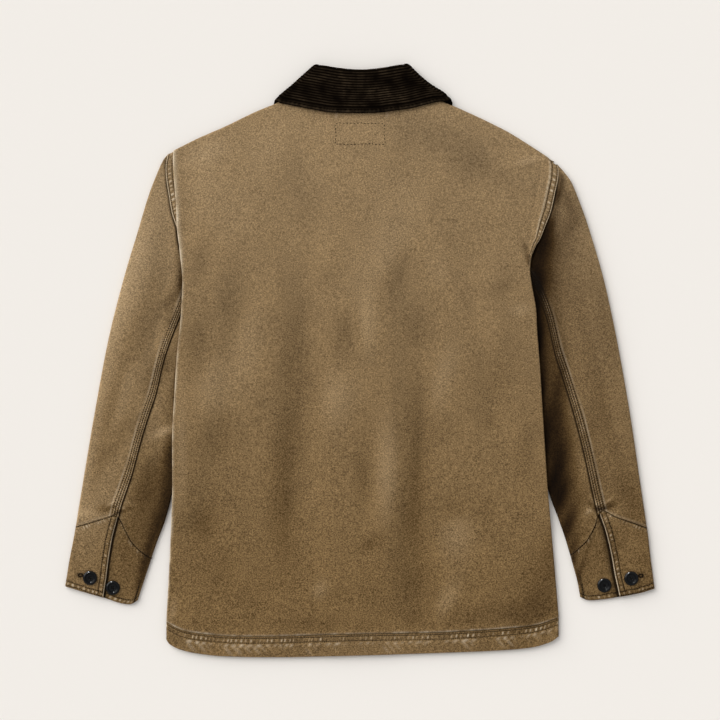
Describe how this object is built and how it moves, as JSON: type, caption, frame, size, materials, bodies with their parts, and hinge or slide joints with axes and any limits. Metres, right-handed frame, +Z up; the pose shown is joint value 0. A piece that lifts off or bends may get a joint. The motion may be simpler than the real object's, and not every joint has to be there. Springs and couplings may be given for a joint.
{
  "type": "barn coat",
  "caption": "Button-front canvas coat with a corduroy collar and banded cuffs, laid flat face down with its sleeves down.",
  "frame": {"origin": "centre of the bounding box's footprint, on the surface that the coat lies on", "axes": "+Z up out of the back of the coat, away from the surface; +Y from the hem towards the collar; -X is the wearer's left"},
  "size_m": [0.8245, 0.8306, 0.0134],
  "materials": {
    "canvas": "washed brown duck canvas",
    "sleeve_canvas": "washed brown duck canvas",
    "cuff_canvas": "washed brown duck canvas, two layers",
    "corduroy": "dark brown corduroy with raised wales",
    "button": "near-black, polished rim"
  },
  "bodies": {
    "root": {"back_panel": "canvas", "back_hem": "canvas", "front_left": "canvas", "front_left_hem": "canvas", "front_right": "canvas", "front_right_hem": "canvas", "left_upper_sleeve": "sleeve_canvas", "left_under_sleeve": "sleeve_canvas", "left_felled_seam": "sleeve_canvas", "right_upper_sleeve": "sleeve_canvas", "right_under_sleeve": "sleeve_canvas", "right_felled_seam": "sleeve_canvas", "left_cuff": "cuff_canvas", "right_cuff": "cuff_canvas", "upper_collar": "corduroy", "under_collar": "corduroy", "collar_stand": "corduroy", "front_button_1": "button", "front_button_2": "button", "front_button_3": "button", "front_button_4": "button", "front_button_5": "button", "left_cuff_button": "button", "left_cuff_button_spare": "button", "right_cuff_button": "button", "right_cuff_button_spare": "button"}
  },
  "joints": []
}
